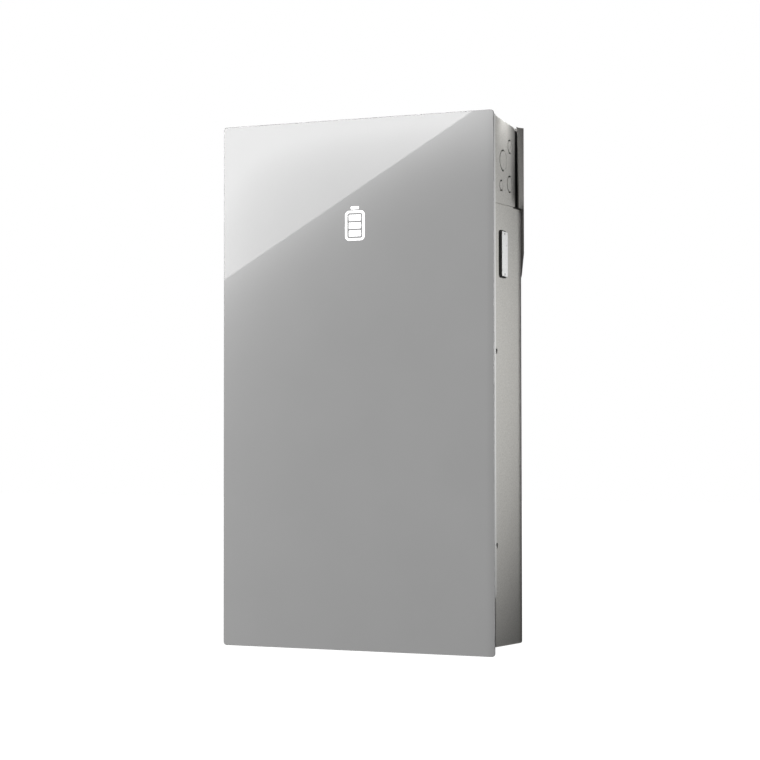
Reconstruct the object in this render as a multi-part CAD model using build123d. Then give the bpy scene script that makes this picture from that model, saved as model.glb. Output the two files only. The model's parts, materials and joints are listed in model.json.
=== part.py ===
from build123d import *
import os

# Wall battery unit with a built-in inverter, in millimetres.
# Every piece is modelled with X to the right, Y back from the glass's outer face and Z up from the
# glass's bottom edge. write() then moves it, so the origin is the centre of the four wall holes.

# ---- driving dimensions -------------------------------------------------------------------------
COVER_WIDTH = 609.0
COVER_HEIGHT = 1105.0
DEPTH = 193.0              # glass face to wall
WALL_HOLES_HEIGHT = 955.0  # centre of the wall holes above the glass's bottom edge

SHEET = 2.0                # enclosure sheet
BODY_FRONT = 18.0          # front face of both enclosures
BODY_HALF = 300.5          # half the width of both enclosures
BODY_REAR = 189.5
SHOULDER = 918.0           # top of the battery enclosure
BOTTOM_FRONT = 17.0
BOTTOM_REAR = 11.5
EDGE_RADIUS = 5.0          # rounding of both enclosures' edges
SEAM_RADIUS = 1.5          # and of the edges where they meet
SEAM_REACH = 6.0           # how far from the shoulder those edges lie
INNER_RADIUS = 0.5         # smallest inside radius of folded sheet

BOX_REAR = 150.0           # back of the shallower inverter enclosure
BOX_BOTTOM_REAR = 921.0
BOX_TOP_FRONT = 1099.0
BOX_TOP_REAR = 1088.5
CROWN_RADIUS = 12.0        # its upper rear edge

VENT_PLACE = (-200.0, 100.0)
VENT_RADIUS = 8.0
VENT_BOTTOM = 9.7

# glass and frame of the front cover
GLASS = 4.0
GLASS_RADIUS = 7.0
ARRIS = 0.8
RIM_HALF = 300.3
RIM_WIDTH = 11.0
RIM_REAR = 12.0
PAN = 2.0
PAN_MARGIN = 2.0           # glass edge to the pan's top and bottom edge
RAIL_BOTTOM = 117.0
RAIL_TOP = 1097.0
RAIL_INNER = 300.5
RIB_HEIGHTS = (222.0, 616.0, 1010.0)

# status symbol: an upright battery with a nub and charge bars
SYMBOL_HEIGHT = 885.0
SYMBOL_DEPTH = 1.2
SYMBOL_WIDTH = 44.0
SYMBOL_TALL = 62.0
SYMBOL_STROKE = 4.5
SYMBOL_BARS = 3

# side clips of the cover, and the notches that they slide into
CLIP_HEIGHTS = (222.0, 616.0)
NOTCH_HALF = 5.5
NOTCH_INNER = 291.0
NOTCH_REAR = 31.5
POCKET_WALL = 1.5
STUD_PLACES = ((-240.0, 1058.0), (20.0, 1058.0))
STUD_RADIUS = 3.0

# lids
LID = 2.0
GASKET = 1.2
LID_HALF = 290.0
LID_FRONT = BODY_FRONT - GASKET - LID
FLANGE_HALF = 276.0        # half the battery window's width
WINDOW_BOTTOM = 42.0
WINDOW_TOP = 892.0
LID_OVERLAP = 14.0         # lid beyond its window, each side
SCREW_INSET = 7.0          # screw line beyond the window's edge
SCREW_RADIUS = 1.9
HEAD_RADIUS = 3.6
HEAD = 2.0
BOX_WINDOW_BOTTOM = 942.0
BOX_WINDOW_TOP = 1070.0
INVERTER_WINDOW = (-276.0, 36.0)
WIRING_WINDOW = (76.0, 276.0)
SEAL_GAP = 0.3             # between the wiring cover's seal and the enclosure

# wall bracket
BRACKET_HALF = COVER_WIDTH / 2
BRACKET_SHEET = 3.0
BRACKET_TOP = 1092.5
BRACKET_TAPER = 829.0      # height where the plate starts to narrow
BRACKET_BOTTOM = 766.0
BRACKET_FOOT_HALF = 298.0
BRACKET_RADIUS = 20.0
SHIELD = 2.0               # thickness of the side flanges
SHIELD_BOTTOM = 921.0
SHIELD_TOP = 1089.0        # at the flanges' front
SHIELD_FRONT_TOP = 157.5
SHIELD_FRONT_BOTTOM = 161.5
SHIELD_FLARE = 10.0        # radius of the flared upper front corner
BEND_Y = (188.4, 189.6)    # score line along the bend between plate and flange
BEND_DEEP = 0.8
HOLE_SPACING_X = 406.4     # wall studs at 16 in centres
HOLE_SPACING_Z = 180.0
HOLE_RADIUS = 4.5
CLEAT_HALF = 180.0
CLEAT_BOTTOM = 1040.0
CLEAT_TOP = 1074.0
CLEAT_FRONT = 179.0
RAIL_LIP_BOTTOM = 1056.0

# wedge-shaped pieces between the enclosures
STRIP_OUTER = 298.2
STRIP_INNER = 295.0
STRIP_FRONT = 40.0
SPACER_PLACES = (-220, 120, 230)

# conduit knockouts in the right side of the inverter enclosure: (Y, Z, diameter)
KNOCKOUTS = (
    (113.5, 1043.5, 28.2),
    (70.9, 1009.7, 43.9),
    (59.3, 957.2, 22.2),
    (112.9, 965.2, 34.9),
)
KNOCKOUT_SLIT = 2.8        # width of the slit round the front half
KNOCKOUT_GROOVE = 1.2      # width of the groove round the rear half
KNOCKOUT_DEEP = 0.5        # its depth
NICK_WIDE = 11.0           # slots cut through at the top and bottom of the ring
NICK_TALL = 3.6
NICK_INSET = 1.1           # slot centre inside the ring's edge

# power switch on the right side
SWITCH_Y = 61.5
SWITCH_Z = 815.9
BEZEL_WIDE = 40.0
BEZEL_TALL = 97.5
BEZEL_RADIUS = 7.0
BEZEL_PROUD = 3.2
BEZEL_LAP = 0.8            # bezel flange beyond its tub
TUB_WALL = 1.0
TUB_FLOOR = 286.0
ROCKER_GAP_SIDE = 0.4
ROCKER_GAP_END = 0.8
ROCKER_INNER = 297.0
ROCKER_OUTER = 306.9
FACE = 0.5
FACE_INSET = 0.4
FACE_HOLE = 2.8            # radius
FACE_HOLE_INSET = 4.6      # hole's middle from the rocker's end
PIVOT_X = 298.0
PIN_RADIUS = 1.5
PIN_CLEARANCE = 0.05

# cells
CELL_WIDE = 148.0
CELL_TALL = 27.0
CELL_PITCH = 27.5
CELL_FRONT = 72.0
CELL_REAR = 166.0
CELL_ROWS = 28
CELL_COLUMNS = (-180.0, 0.0, 180.0)
STACK_BOTTOM = 30.0
STACK_TOP = STACK_BOTTOM + CELL_ROWS * CELL_PITCH
END_PLATE = 8.0
STRAP = 1.0
STRAP_OFFSET = 38.0
TERMINAL_OFFSET = 56.0
TERMINAL_RADIUS = 6.0
TERMINAL = 3.0
BUSBAR = 2.0
PAD = 2.0
COLD_PLATE = 5.0
COLD_PLATE_HALF = 272.0

# battery electronics above the cells
TRAY_FRONT = 150.0
TRAY_BOTTOM = 816.0
TRAY_TOP = 910.0
BOARD = 1.6

# inverter
POWER_BOARD_FRONT = 110.0
CONTROL_BOARD_FRONT = 50.0
BULKHEAD_X = 55.0
BULKHEAD = 2.0

# cooling channel behind the inverter enclosure
SINK_HALF = 272.0
GUIDE_INNER = 290.0        # air guides beside the heat sink
GUIDE_OUTER = 292.0
GUIDE_REAR = 188.0
GUIDE_BOTTOM = 925.0
GUIDE_TOP = 1085.0
SINK_BOTTOM = 956.0
SINK_TOP = 1066.0
SINK_BASE = 5.0
SINK_REAR = 176.0
FIN = 2.0
FIN_COUNT = 61
FAN_CENTRES = (-150.0, 0.0, 150.0)
FAN_Y = 169.5
FAN_SIZE = 36.0
FAN_BOTTOM = 928.0
FAN_TALL = 20.0
FAN_BORE = 17.0
FAN_TRAY = 1.5
HUB_RADIUS = 9.5
BLADE_TIP = 16.0
BLADES = 7
SPOKE_TALL = 2.6
SHAFT_RADIUS = 1.5

BODY_INNER_REAR = BODY_REAR - SHEET
BOX_INNER_REAR = BOX_REAR - SHEET


# ---- shared helpers -----------------------------------------------------------------------------
def write(name, *solids):
    """Write one named piece, or a group of like pieces, moved into the part's own frame."""
    shape = solids[0] if len(solids) == 1 else Compound(list(solids))
    export_step(Pos(0, -DEPTH, -WALL_HOLES_HEIGHT) * shape, f"parts/{name}.step")


def block(x, y, z):
    """A box from its low and high value on each axis."""
    size = [high - low for low, high in (x, y, z)]
    centre = [(high + low) / 2 for low, high in (x, y, z)]
    return Pos(*centre) * Box(*size)


def rod(radius, start, axis, length):
    """A cylinder from the point start, length long towards axis."""
    return extrude(Plane(origin=start, z_dir=axis) * Circle(radius), amount=length)


def front_plate(x, z, y, radius):
    """An upright plate across the unit with rounded corners, from its ranges in X, Z and Y."""
    middle = ((x[0] + x[1]) / 2, y[0], (z[0] + z[1]) / 2)
    outline = RectangleRounded(x[1] - x[0], z[1] - z[0], radius)
    return extrude(Plane(origin=middle, x_dir=(1, 0, 0), z_dir=(0, -1, 0)) * outline, amount=y[0] - y[1])


def side_plate(width, height, radius, inner, outer):
    """A plate on the unit's right side, centred on the power switch, with rounded corners."""
    middle = Plane(origin=(inner, SWITCH_Y, SWITCH_Z), x_dir=(0, 1, 0), z_dir=(1, 0, 0))
    return extrude(middle * RectangleRounded(width, height, radius), amount=outer - inner)


def side_prism(points, x):
    """A solid from corners in (Y, Z), run between two values of X."""
    face = Plane(origin=(x[0], 0, 0), x_dir=(0, 1, 0), z_dir=(1, 0, 0)) * Polygon(*points, align=None)
    return extrude(face, amount=x[1] - x[0])


def inset_radius(radius, inset):
    """Radius of an edge on a form that lies inside the sheet's outer face."""
    return max(radius - inset, INNER_RADIUS)


def box_form(corners, outer_radius, inset=0.0):
    """An enclosure's form from its side profile, rounded everywhere except on its front.

    outer_radius is the radius of the rear edge away from the shoulder, and inset is how far the
    form lies inside the sheet's outer face.
    """
    half = BODY_HALF - inset
    form = side_prism(corners, (-half, half))
    form = fillet(back_edges(form, seam=False).filter_by(Axis.X), outer_radius)
    form = fillet(back_edges(form, seam=False).filter_by(lambda edge: abs(edge.center().X) > half - 0.01),
                  inset_radius(EDGE_RADIUS, inset))
    return fillet(back_edges(form, seam=True), inset_radius(SEAM_RADIUS, inset))


def back_edges(form, seam):
    """A form's edges behind its front face: those beside the shoulder, or the others."""
    behind = form.edges().filter_by(lambda edge: edge.center().Y > BODY_FRONT + SHEET + 1)
    return behind.filter_by(lambda edge: (abs(edge.center().Z - SHOULDER) < SEAM_REACH) == seam)


def evenly(low, high, count):
    """count values from low to high, both included."""
    return [low + (high - low) * i / (count - 1) for i in range(count)]


def box_bottom(y):
    """Height of the inverter enclosure's sloping underside at a depth."""
    return SHOULDER + (BOX_BOTTOM_REAR - SHOULDER) * (y - BODY_FRONT) / (BOX_REAR - BODY_FRONT)


# ---- screws and their places --------------------------------------------------------------------
def rim_places(x, z, columns, rows):
    """Screw places round a window, from the window's range in X and Z."""
    left, right = x[0] - SCREW_INSET, x[1] + SCREW_INSET
    low, high = z[0] - SCREW_INSET, z[1] + SCREW_INSET
    across = [(px, pz) for px in evenly(left, right, columns) for pz in (low, high)]
    upright = [(px, pz) for px in (left, right) for pz in evenly(low, high, rows)[1:-1]]
    return across + upright


BATTERY_WINDOW = (-FLANGE_HALF, FLANGE_HALF)
BATTERY_WINDOW_Z = (WINDOW_BOTTOM, WINDOW_TOP)
BOX_WINDOW_Z = (BOX_WINDOW_BOTTOM, BOX_WINDOW_TOP)
BATTERY_SCREWS = rim_places(BATTERY_WINDOW, BATTERY_WINDOW_Z, 5, 8)
INVERTER_SCREWS = rim_places(INVERTER_WINDOW, BOX_WINDOW_Z, 4, 3)
WIRING_SCREWS = rim_places(WIRING_WINDOW, BOX_WINDOW_Z, 2, 2)


def drill(shape, places, radius):
    """Cut round holes along Y through a lid, gasket or enclosure front."""
    holes = [rod(radius, (x, 0, z), (0, 1, 0), BODY_FRONT + SHEET + 1) for x, z in places]
    return shape - holes


def lid_screw(x, z):
    """A pan head screw with a cross recess, its head on the lid."""
    head = rod(HEAD_RADIUS, (x, LID_FRONT - HEAD, z), (0, 1, 0), HEAD)
    shank = rod(SCREW_RADIUS, (x, LID_FRONT, z), (0, 1, 0), BODY_FRONT + SHEET - LID_FRONT)
    slot = block((x - 2.2, x + 2.2), (LID_FRONT - HEAD, LID_FRONT - HEAD + 1), (z - 0.4, z + 0.4))
    cross = block((x - 0.4, x + 0.4), (LID_FRONT - HEAD, LID_FRONT - HEAD + 1), (z - 2.2, z + 2.2))
    return head + shank - slot - cross


# ---- front cover --------------------------------------------------------------------------------
def symbol_parts(depth):
    """The status symbol's separate strokes: case outline with its nub, and the charge bars."""
    half = SYMBOL_WIDTH / 2
    low = SYMBOL_HEIGHT - SYMBOL_TALL / 2 - 3
    high = low + SYMBOL_TALL
    inner = half - SYMBOL_STROKE
    case = front_plate((-half, half), (low, high), (0, depth), 9)
    hollow = front_plate((-inner, inner), (low + SYMBOL_STROKE, high - SYMBOL_STROKE), (0, depth), 5)
    nub = front_plate((-9, 9), (high + 3, high + 9), (0, depth), 2)
    bar_half = inner - 4
    floor = low + SYMBOL_STROKE + 4
    pitch = (SYMBOL_TALL - 2 * SYMBOL_STROKE - 4) / SYMBOL_BARS
    bars = [
        front_plate((-bar_half, bar_half), (floor + i * pitch, floor + (i + 1) * pitch - 4), (0, depth), 2)
        for i in range(SYMBOL_BARS)
    ]
    return [case - hollow, nub, *bars]


def glass_panel():
    """Toughened glass with rounded corners, eased arrises and a shallow pocket for the symbol."""
    half = COVER_WIDTH / 2
    panel = front_plate((-half, half), (0, COVER_HEIGHT), (0, GLASS), GLASS_RADIUS)
    rim = [edge for edge in panel.edges() if abs(edge.center().Y) < 0.01 or edge.center().Y > GLASS - 0.01]
    return chamfer(rim, ARRIS) - symbol_parts(SYMBOL_DEPTH)


def cover_frame():
    """Back pan with a deep rim and cross ribs, open behind the symbol."""
    low, high = PAN_MARGIN, COVER_HEIGHT - PAN_MARGIN
    inner = RIM_HALF - RIM_WIDTH
    outer = front_plate((-RIM_HALF, RIM_HALF), (low, high), (GLASS, RIM_REAR), 5)
    heights = (low + RIM_WIDTH, high - RIM_WIDTH)
    hollow = front_plate((-inner, inner), heights, (GLASS + PAN, RIM_REAR + 1), 3)
    frame = outer - hollow
    for z in RIB_HEIGHTS:
        frame += block((-inner, inner), (GLASS + PAN, RIM_REAR - 2), (z - 6, z + 6))
    for x, z in STUD_PLACES:
        frame += block((x - 9, x + 9), (GLASS + PAN, RIM_REAR - 2), (z - 9, z + 9))
    window = front_plate((-26, 26), (SYMBOL_HEIGHT - 39, SYMBOL_HEIGHT + 41), (0, GLASS + PAN), 4)
    return frame - window


def cover_edge_rails():
    """Light rails beside the rim, behind the glass's long edges, cut at a slant at the bottom."""
    outline = [
        (GLASS, RAIL_BOTTOM),
        (RIM_REAR, RAIL_BOTTOM + 9),
        (RIM_REAR, RAIL_TOP),
        (GLASS, RAIL_TOP),
    ]
    edge = COVER_WIDTH / 2 - 0.2
    return [side_prism(outline, (RAIL_INNER, edge)), side_prism(outline, (-edge, -RAIL_INNER))]


def cover_clips():
    """Plastic clips on the back of the rim, each with a foot and a rounded tongue."""
    clips = []
    for side in (-1, 1):
        for z in CLIP_HEIGHTS:
            foot = block((292, 299), (RIM_REAR, RIM_REAR + 2), (z - 5, z + 5))
            tongue = block((293.5, 298.2), (RIM_REAR, 28), (z - 4, z + 4))
            tip = rod(2.35, (295.85, 28, z - 4), (0, 0, 1), 8)
            clip = foot + tongue + tip
            clips.append(clip if side > 0 else mirror(clip, Plane.YZ))
    return clips


def cover_studs():
    """Push studs high on the cover, each with a waist and a rounded head."""
    studs = []
    for x, z in STUD_PLACES:
        base = rod(6, (x, RIM_REAR - 2, z), (0, 1, 0), 1.5)
        stem = rod(STUD_RADIUS - 0.6, (x, RIM_REAR - 0.5, z), (0, 1, 0), 8)
        head = Pos(x, RIM_REAR + 8, z) * Sphere(STUD_RADIUS)
        studs.append(base + stem + head)
    return studs


def status_light_board():
    """Circuit board behind the symbol with a grid of small lights."""
    rear = GLASS + PAN
    board = block((-30, 30), (rear, rear + BOARD), (SYMBOL_HEIGHT - 44, SYMBOL_HEIGHT + 46))
    lights = [
        block((x - 1.5, x + 1.5), (rear - 1, rear), (z - 1.5, z + 1.5))
        for x in (-16, 0, 16)
        for z in evenly(SYMBOL_HEIGHT - 28, SYMBOL_HEIGHT + 32, 5)
    ]
    return board + lights


# ---- battery enclosure and its lid --------------------------------------------------------------
def battery_enclosure():
    """Deep lower box, folded and welded, with a front window, clip pockets and a switch opening."""
    outer = [
        (BODY_FRONT, BOTTOM_FRONT),
        (BODY_REAR, BOTTOM_REAR),
        (BODY_REAR, SHOULDER),
        (BODY_FRONT, SHOULDER),
    ]
    inner = [
        (BODY_FRONT + SHEET, BOTTOM_FRONT + SHEET),
        (BODY_INNER_REAR, BOTTOM_REAR + SHEET),
        (BODY_INNER_REAR, SHOULDER - SHEET),
        (BODY_FRONT + SHEET, SHOULDER - SHEET),
    ]
    shell = box_form(outer, EDGE_RADIUS) - box_form(inner, EDGE_RADIUS - SHEET, SHEET)
    shell -= front_plate(BATTERY_WINDOW, BATTERY_WINDOW_Z, (BODY_FRONT - 1, BODY_FRONT + SHEET + 1), 8)
    shell = drill(shell, BATTERY_SCREWS, SCREW_RADIUS + 0.05)
    for side in (-1, 1):
        for z in CLIP_HEIGHTS:
            pocket = block(
                (NOTCH_INNER - POCKET_WALL, BODY_HALF - 0.5),
                (BODY_FRONT, NOTCH_REAR + POCKET_WALL),
                (z - NOTCH_HALF - POCKET_WALL, z + NOTCH_HALF + POCKET_WALL),
            )
            notch = block(
                (NOTCH_INNER, BODY_HALF + 1),
                (BODY_FRONT - 1, NOTCH_REAR),
                (z - NOTCH_HALF, z + NOTCH_HALF),
            )
            notch = fillet(notch.edges().filter_by(Axis.X).group_by(Axis.Y)[-1], 2.5)
            if side < 0:
                pocket = mirror(pocket, Plane.YZ)
                notch = mirror(notch, Plane.YZ)
            shell = shell + pocket - notch
    tub = side_plate(BEZEL_WIDE - 2 * BEZEL_LAP + 0.4, BEZEL_TALL - 2 * BEZEL_LAP + 0.4, 5.7, 290, 310)
    riser = block((-100, 0), (60, 100), (SHOULDER - 5, SHOULDER + 5))
    vent = rod(VENT_RADIUS, (*VENT_PLACE, VENT_BOTTOM), (0, 0, 1), 20)
    return shell - tub - riser - vent


def battery_lid():
    """Battery window's lid, with pressed stiffening panels."""
    low, high = WINDOW_BOTTOM - LID_OVERLAP, WINDOW_TOP + LID_OVERLAP
    lid = front_plate((-LID_HALF, LID_HALF), (low, high), (LID_FRONT, LID_FRONT + LID), 10)
    edges = evenly(low + 36, high - 36, 5)
    for bottom, top in zip(edges, edges[1:]):
        for left, right in ((-244, -10), (10, 244)):
            lid += front_plate((left, right), (bottom + 8, top - 8), (LID_FRONT - 1.2, LID_FRONT), 12)
            heights = (bottom + 10, top - 10)
            lid -= front_plate((left + 2, right - 2), heights, (LID_FRONT, LID_FRONT + 1), 10)
    return drill(lid, BATTERY_SCREWS, SCREW_RADIUS + 0.2)


def ring_gasket(window, heights, places, rear):
    """A flat gasket between a lid's edge and the flange round its window."""
    lap = LID_OVERLAP - 0.5
    outer = front_plate(
        (window[0] - lap, window[1] + lap),
        (heights[0] - lap, heights[1] + lap),
        (LID_FRONT + LID, rear),
        10,
    )
    inner = front_plate(
        (window[0] - 1, window[1] + 1),
        (heights[0] - 1, heights[1] + 1),
        (LID_FRONT + LID - 1, rear + 1),
        8,
    )
    return drill(outer - inner, places, SCREW_RADIUS + 0.2)


# ---- inverter enclosure and its covers ----------------------------------------------------------
def knockout(shape, y, z, diameter):
    """Round knockout: slit through the front half, grooved round the rest, a slot at each end of the slit."""
    radius = diameter / 2
    face = (BODY_HALF, y, z)
    shape -= rod(radius, face, (-1, 0, 0), KNOCKOUT_DEEP) - rod(
        radius - KNOCKOUT_GROOVE, face, (-1, 0, 0), KNOCKOUT_DEEP
    )
    ring = rod(radius, face, (-1, 0, 0), SHEET + 1) - rod(radius - KNOCKOUT_SLIT, face, (-1, 0, 0), SHEET + 1)
    shape -= ring & block((BODY_HALF - SHEET - 1, BODY_HALF), (y - radius, y), (z - radius, z + radius))
    for end in (-1, 1):
        centre = (BODY_HALF - SHEET - 1, y, z + end * (radius - NICK_INSET))
        place = Plane(origin=centre, x_dir=(0, 1, 0), z_dir=(1, 0, 0))
        shape -= extrude(place * SlotOverall(NICK_WIDE, NICK_TALL), amount=SHEET + 2)
    return shape


def inverter_enclosure():
    """Shallower upper box with two front windows, a sloping top and conduit knockouts."""
    outer = [
        (BODY_FRONT, SHOULDER),
        (BOX_REAR, BOX_BOTTOM_REAR),
        (BOX_REAR, BOX_TOP_REAR),
        (BODY_FRONT, BOX_TOP_FRONT),
    ]
    inner = [
        (BODY_FRONT + SHEET, SHOULDER + SHEET + 0.2),
        (BOX_INNER_REAR, BOX_BOTTOM_REAR + SHEET),
        (BOX_INNER_REAR, BOX_TOP_REAR - SHEET),
        (BODY_FRONT + SHEET, BOX_TOP_FRONT - SHEET - 0.2),
    ]
    shell = box_form(outer, CROWN_RADIUS) - box_form(inner, CROWN_RADIUS - SHEET, SHEET)
    for window in (INVERTER_WINDOW, WIRING_WINDOW):
        shell -= front_plate(window, BOX_WINDOW_Z, (BODY_FRONT - 1, BODY_FRONT + SHEET + 1), 6)
    shell = drill(shell, INVERTER_SCREWS, SCREW_RADIUS + 0.05)
    shell = drill(shell, WIRING_SCREWS, SCREW_RADIUS + 0.4)
    for y, z, diameter in KNOCKOUTS:
        shell = knockout(shell, y, z, diameter)
    return shell - block((-100, 0), (60, 100), (SHOULDER - 5, SHOULDER + 9))


def bulkhead():
    """Sheet wall between the inverter and the wiring compartment, with a cable notch."""
    height = (BOX_BOTTOM_REAR + 7, BOX_TOP_REAR - CROWN_RADIUS - 1)
    wall = block((BULKHEAD_X, BULKHEAD_X + BULKHEAD), (BODY_FRONT + SHEET, BOX_INNER_REAR), height)
    foot = block((BULKHEAD_X, BULKHEAD_X + 14), (BOX_INNER_REAR - BULKHEAD, BOX_INNER_REAR), height)
    return wall + foot - block((BULKHEAD_X - 1, BULKHEAD_X + 3), (90, 120), (990, 1040))


def inverter_lid():
    """Lid over the inverter, with a raised panel and two holes for the cover's studs."""
    left, right = INVERTER_WINDOW[0] - LID_OVERLAP, INVERTER_WINDOW[1] + LID_OVERLAP
    low, high = BOX_WINDOW_BOTTOM - LID_OVERLAP, BOX_WINDOW_TOP + LID_OVERLAP
    lid = front_plate((left, right), (low, high), (LID_FRONT, LID_FRONT + LID), 8)
    lid += front_plate((-220, 0), (low + 26, high - 44), (LID_FRONT - 1.2, LID_FRONT), 10)
    for x, z in STUD_PLACES:
        lid -= rod(6, (x, 0, z), (0, 1, 0), BODY_FRONT)
    return drill(lid, INVERTER_SCREWS, SCREW_RADIUS + 0.2)


def stud_grommets():
    """Rubber grommets in the inverter lid that grip the cover's studs."""
    rings = []
    for x, z in STUD_PLACES:
        ring = rod(6, (x, LID_FRONT, z), (0, 1, 0), LID)
        ring += rod(8, (x, LID_FRONT + LID, z), (0, 1, 0), 2)
        rings.append(ring - rod(STUD_RADIUS + 0.5, (x, LID_FRONT - 1, z), (0, 1, 0), 8))
    return rings


def wiring_cover():
    """Screwed cover of the wiring compartment, with a pressed finger grip."""
    left, right = WIRING_WINDOW[0] - LID_OVERLAP, WIRING_WINDOW[1] + LID_OVERLAP
    low, high = BOX_WINDOW_BOTTOM - LID_OVERLAP, BOX_WINDOW_TOP + LID_OVERLAP
    cover = front_plate((left, right), (low, high), (LID_FRONT, LID_FRONT + LID), 8)
    cover += front_plate((140, 212), (1040, 1052), (LID_FRONT - 1.5, LID_FRONT), 5)
    return drill(cover, WIRING_SCREWS, SCREW_RADIUS + 0.2)


# ---- between and behind the enclosures ----------------------------------------------------------
def wedge(x, y, gap):
    """A block that fills the wedge between the enclosures over ranges of X and Y."""
    points = [
        (y[0], SHOULDER),
        (y[1], SHOULDER),
        (y[1], box_bottom(y[1]) - gap),
        (y[0], box_bottom(y[0]) - gap),
    ]
    return side_prism(points, x)


def joining_strips():
    """Wedge-shaped strips that close the joint between the enclosures along both sides."""
    right = wedge((STRIP_INNER, STRIP_OUTER), (STRIP_FRONT, BOX_REAR - 8), 0.03)
    return [right, mirror(right, Plane.YZ)]


def joining_spacers():
    """Wedge-shaped spacers under the inverter enclosure."""
    return [wedge((x - 20, x + 20), (60, 130), 0.03) for x in SPACER_PLACES]


def riser_seal():
    """Rubber collar round the cable riser between the enclosures."""
    return wedge((-112, 12), (50, 110), 0.03) - block((-100, 0), (60, 100), (SHOULDER - 1, SHOULDER + 9))


def hanger_rail():
    """Folded rail on the upper box's back that hooks behind the bracket's cleat."""
    base = block((-CLEAT_HALF, CLEAT_HALF), (BOX_REAR, BOX_REAR + 3), (SINK_TOP + 1, CLEAT_TOP + 3))
    shelf = block((-CLEAT_HALF, CLEAT_HALF), (BOX_REAR, 187), (CLEAT_TOP, CLEAT_TOP + 3))
    lip = block((-CLEAT_HALF, CLEAT_HALF), (184, 187), (RAIL_LIP_BOTTOM, CLEAT_TOP + 3))
    return base + shelf + lip


def bracket_flange(x):
    """Side flange of the bracket over a range of X, with its upper front corner flared forward."""
    outline = [
        (SHIELD_FRONT_BOTTOM, SHIELD_BOTTOM),
        (DEPTH, SHIELD_BOTTOM),
        (DEPTH, BRACKET_TOP),
        (SHIELD_FRONT_TOP, SHIELD_TOP),
    ]
    front = SHIELD_FRONT_TOP - SHIELD_FLARE
    low = SHIELD_TOP - SHIELD_FLARE
    flare = block(x, (front, SHIELD_FRONT_TOP + 1), (low, SHIELD_TOP))
    flare -= rod(SHIELD_FLARE, (x[0], front, low), (1, 0, 0), x[1] - x[0])
    bend = block((BRACKET_HALF - BEND_DEEP, BRACKET_HALF), BEND_Y, (SHIELD_BOTTOM, BRACKET_TOP))
    return side_prism(outline, x) + flare - bend


def wall_bracket():
    """Wall plate that narrows below, with side flanges, a cleat and four wall holes."""
    plate_front = DEPTH - BRACKET_SHEET
    outline = [
        (-BRACKET_HALF, BRACKET_TOP),
        (-BRACKET_HALF, BRACKET_TAPER),
        (-BRACKET_FOOT_HALF, BRACKET_BOTTOM),
        (BRACKET_FOOT_HALF, BRACKET_BOTTOM),
        (BRACKET_HALF, BRACKET_TAPER),
        (BRACKET_HALF, BRACKET_TOP),
    ]
    upright = Plane(origin=(0, DEPTH, 0), x_dir=(1, 0, 0), z_dir=(0, -1, 0))
    bracket = extrude(upright * Polygon(*outline, align=None), amount=BRACKET_SHEET)
    bracket = fillet(bracket.edges().filter_by(Axis.Y).group_by(Axis.Z)[0], BRACKET_RADIUS)
    flange = bracket_flange((BRACKET_HALF - SHIELD, BRACKET_HALF))
    bracket += [flange, mirror(flange, Plane.YZ)]
    across = (-CLEAT_HALF, CLEAT_HALF)
    bracket += block(across, (CLEAT_FRONT, plate_front), (CLEAT_BOTTOM, CLEAT_BOTTOM + BRACKET_SHEET))
    bracket += block(across, (CLEAT_FRONT, CLEAT_FRONT + BRACKET_SHEET), (CLEAT_BOTTOM, CLEAT_TOP))
    for x in (-HOLE_SPACING_X / 2, HOLE_SPACING_X / 2):
        for z in (WALL_HOLES_HEIGHT - HOLE_SPACING_Z / 2, WALL_HOLES_HEIGHT + HOLE_SPACING_Z / 2):
            bracket -= rod(HOLE_RADIUS, (x, plate_front - 1, z), (0, 1, 0), BRACKET_SHEET + 2)
    return bracket


def rear_spacers():
    """Rubber pads low on the back that rest against the wall."""
    pads = []
    for x in (-240, 240):
        for z in (70, 400):
            pad = rod(16, (x, BODY_REAR, z), (0, 1, 0), DEPTH - BODY_REAR)
            pads.append(chamfer(pad.edges().group_by(Axis.Y)[-1], 1))
    return pads


def pressure_vent():
    """Vent plug in the floor with a slotted cap."""
    x, y = VENT_PLACE
    cap = rod(12, (x, y, VENT_BOTTOM), (0, 0, 1), 4)
    stem = rod(VENT_RADIUS - 0.1, (x, y, VENT_BOTTOM + 4), (0, 0, 1), 6)
    heights = (VENT_BOTTOM, VENT_BOTTOM + 1)
    slots = [block((x + d - 1, x + d + 1), (y - 15, y + 15), heights) for d in (-6, 0, 6)]
    return cap + stem - slots


# ---- cooling ------------------------------------------------------------------------------------
def heat_sink():
    """Finned heat sink with upright fins, on the back of the inverter enclosure."""
    base_rear = BOX_REAR + SINK_BASE
    sink = block((-SINK_HALF, SINK_HALF), (BOX_REAR, base_rear), (SINK_BOTTOM, SINK_TOP))
    fins = [
        block((x - FIN / 2, x + FIN / 2), (base_rear, SINK_REAR), (SINK_BOTTOM, SINK_TOP))
        for x in evenly(-SINK_HALF + FIN / 2, SINK_HALF - FIN / 2, FIN_COUNT)
    ]
    return sink + fins


def air_guides():
    """Upright plastic walls that keep the fans' air between the fins."""
    height = (GUIDE_BOTTOM, GUIDE_TOP)
    right = block((GUIDE_INNER, GUIDE_OUTER), (BOX_REAR, GUIDE_REAR), height)
    return [right, mirror(right, Plane.YZ)]


def fan_tray():
    """Bent sheet that holds the fans under the heat sink."""
    top = FAN_BOTTOM + FAN_TALL
    shelf = block((-190, 190), (BOX_REAR, FAN_Y + FAN_SIZE / 2), (top, top + FAN_TRAY))
    back = block((-190, 190), (BOX_REAR, BOX_REAR + FAN_TRAY), (FAN_BOTTOM, top + FAN_TRAY))
    holes = [rod(FAN_BORE, (x, FAN_Y, top - 1), (0, 0, 1), 4) for x in FAN_CENTRES]
    return shelf + back - holes


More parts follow.
